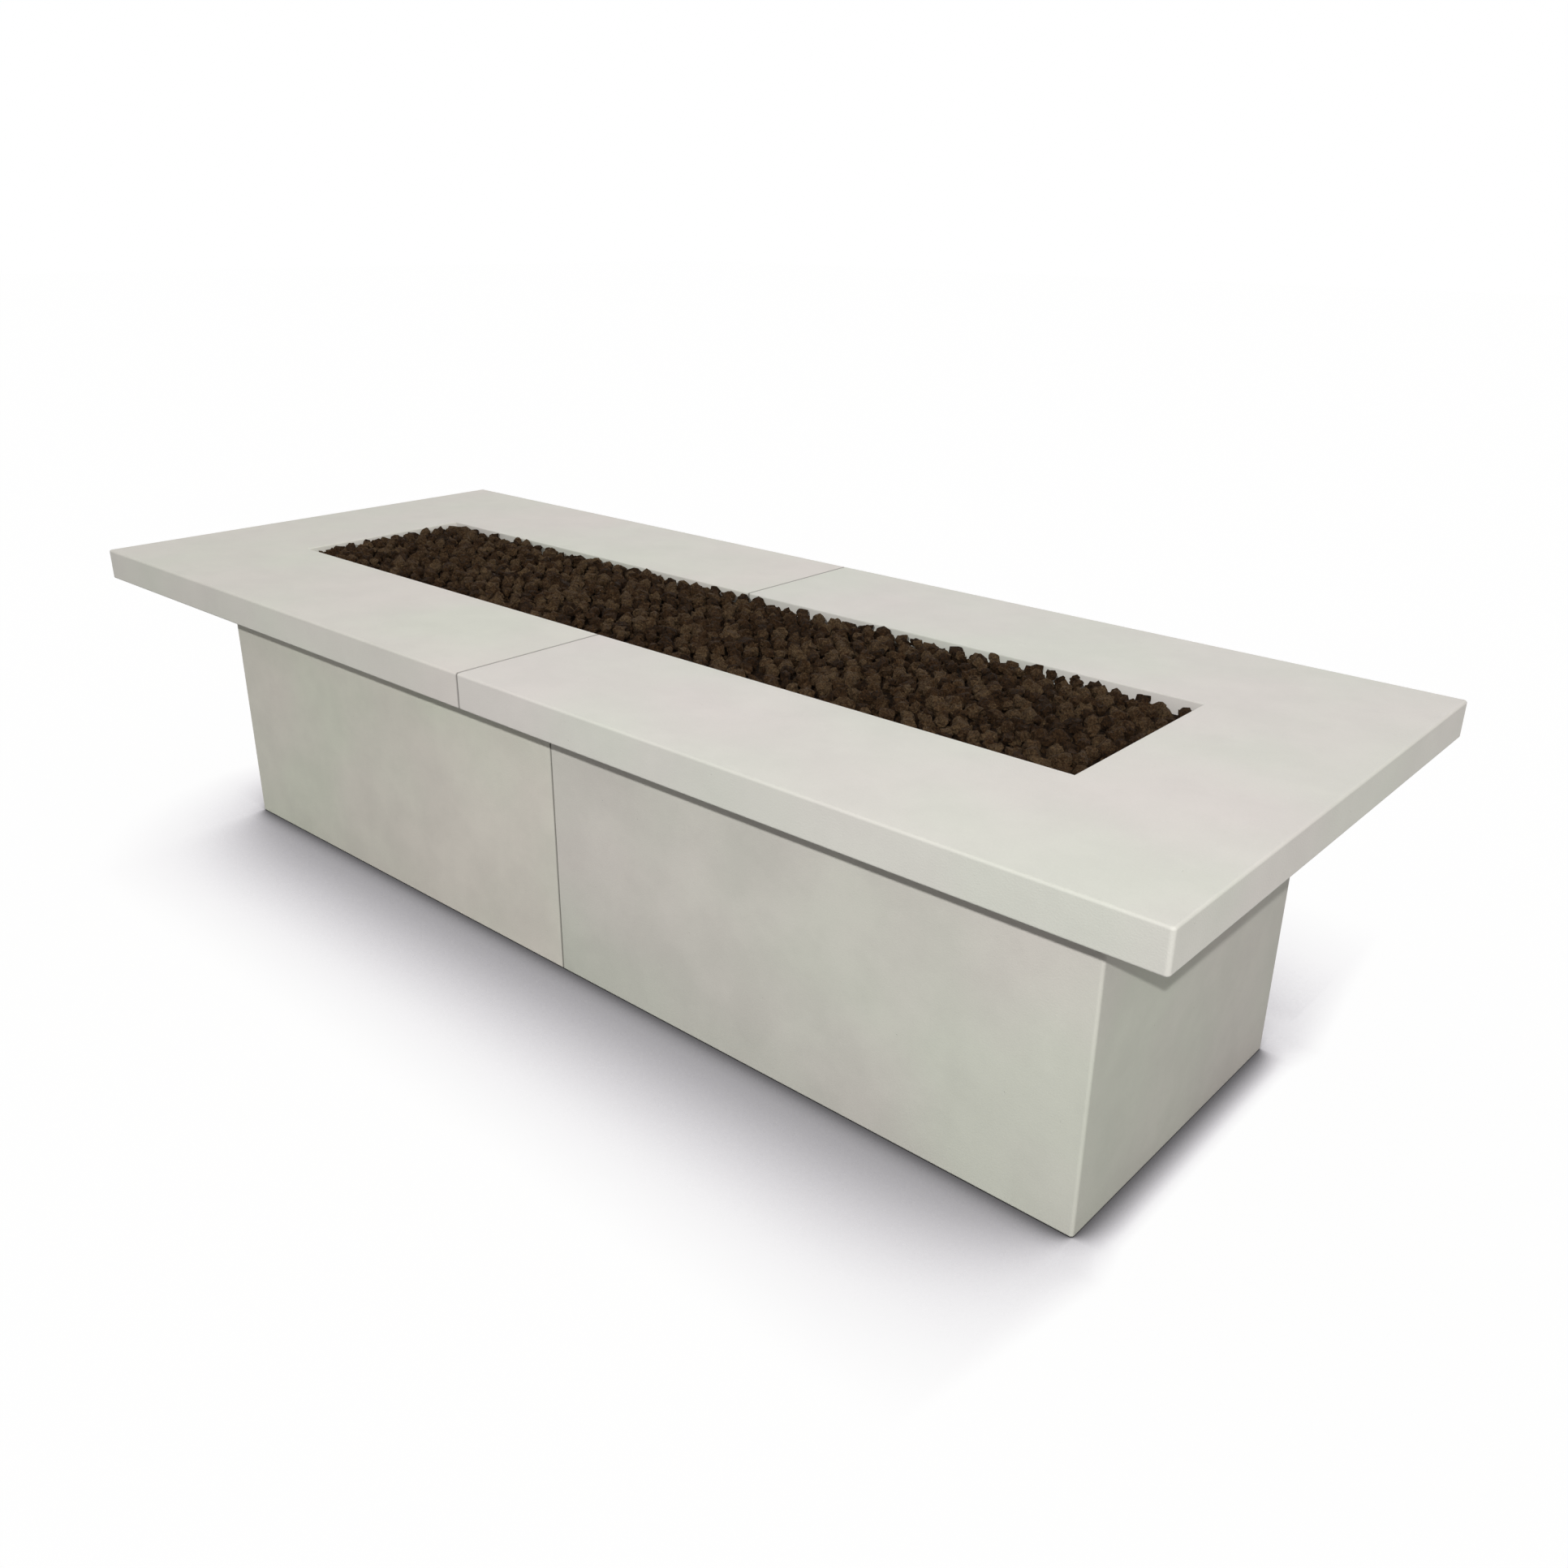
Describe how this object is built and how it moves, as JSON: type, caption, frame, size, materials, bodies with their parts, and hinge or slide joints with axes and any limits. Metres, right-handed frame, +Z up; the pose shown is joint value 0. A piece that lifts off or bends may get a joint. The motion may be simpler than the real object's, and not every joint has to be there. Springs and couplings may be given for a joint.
{
  "type": "fire pit table",
  "caption": "Long rectangular gas fire pit table of pale cast concrete: overhanging slab and box base, each in two halves, with a lava-filled burner trough, access door and key valve.",
  "frame": {"origin": "on the floor, under the centre of the slab", "axes": "+X along the length, -Y to the front long side, +Z up"},
  "size_m": [2.438, 0.972, 0.6209],
  "materials": {
    "cast_concrete": "smooth cast concrete, matt, faintly mottled",
    "lava_rock": "rough broken lava rock",
    "stainless_sheet": "folded stainless sheet, heat tinted",
    "zinc_steel": "zinc plated steel",
    "stainless_screws": "stainless steel",
    "painted_door": "textured powder coat in the colour of the concrete",
    "brass_fittings": "machined brass",
    "chrome_trim": "chrome plated",
    "coated_hose": "yellow coated flexible steel hose",
    "lever_sleeve": "dipped vinyl"
  },
  "bodies": {
    "table": {"base_seam_bolts": "zinc_steel", "base_seam_nuts": "zinc_steel", "base_seam_washers": "zinc_steel", "base_shell_left": "cast_concrete", "base_shell_right": "cast_concrete", "burner_end_caps": "stainless_sheet", "burner_hose": "coated_hose", "burner_inlet_elbow": "brass_fittings", "burner_pan": "stainless_sheet", "burner_saddles": "stainless_sheet", "burner_tee": "stainless_sheet", "burner_tube_left": "stainless_sheet", "burner_tube_right": "stainless_sheet", "door_frame": "painted_door", "door_frame_screws": "stainless_screws", "hinge_fixed_leaves": "painted_door", "hinge_pins": "zinc_steel", "hose_clips": "zinc_steel", "hose_nuts": "brass_fittings", "inlet_nipple": "zinc_steel", "key_valve_body": "brass_fittings", "key_valve_cap": "brass_fittings", "key_valve_locknut": "brass_fittings", "lava_rock_bed": "lava_rock", "nipple_locknuts": "zinc_steel", "riser_bracket": "zinc_steel", "riser_bracket_screws": "zinc_steel", "shutoff_valve_body": "brass_fittings", "slab_fixing_screws": "zinc_steel", "slab_fixing_washers": "zinc_steel", "slab_splice_plates": "zinc_steel", "slab_splice_screws": "zinc_steel", "supply_riser": "zinc_steel", "top_slab_left": "cast_concrete", "top_slab_right": "cast_concrete", "valve_escutcheon": "chrome_trim", "valve_outlet_elbow": "brass_fittings", "vent_grilles": "painted_door", "vent_screws": "stainless_screws"},
    "door": {"access_door": "painted_door", "hinge_moving_leaves": "painted_door", "latch_housing": "chrome_trim", "latch_nut": "zinc_steel"},
    "latch": {"latch_spindle": "chrome_trim", "latch_cam": "zinc_steel", "cam_nut": "zinc_steel"},
    "plug": {"key_valve_plug": "brass_fittings"},
    "key": {"valve_key": "chrome_trim"},
    "shutoff": {"shutoff_ball": "brass_fittings", "shutoff_lever": "zinc_steel", "lever_grip": "lever_sleeve", "lever_nut": "zinc_steel"}
  },
  "joints": [
    {"name": "door_swing", "type": "hinge", "parent": "table", "child": "door", "pos_m": [-0.7756, 0.3186, 0.27], "axis": [0, 0, 1], "range_deg": [0, 110]},
    {"name": "latch_turn", "type": "hinge", "parent": "door", "child": "latch", "pos_m": [-0.398, 0.3295, 0.27], "axis": [0, 1, 0], "range_deg": [0, 90]},
    {"name": "valve_turn", "type": "hinge", "parent": "table", "child": "plug", "pos_m": [-1.001, -0.12, 0.436], "axis": [-1, 0, 0], "range_deg": [0, 90]},
    {"name": "key_pull", "type": "slide", "parent": "plug", "child": "key", "axis": [-1, 0, 0], "range_m": [0, 0.09]},
    {"name": "shutoff_turn", "type": "hinge", "parent": "table", "child": "shutoff", "pos_m": [-1.001, -0.12, 0.224], "axis": [0, 1, 0], "range_deg": [0, 90]}
  ]
}
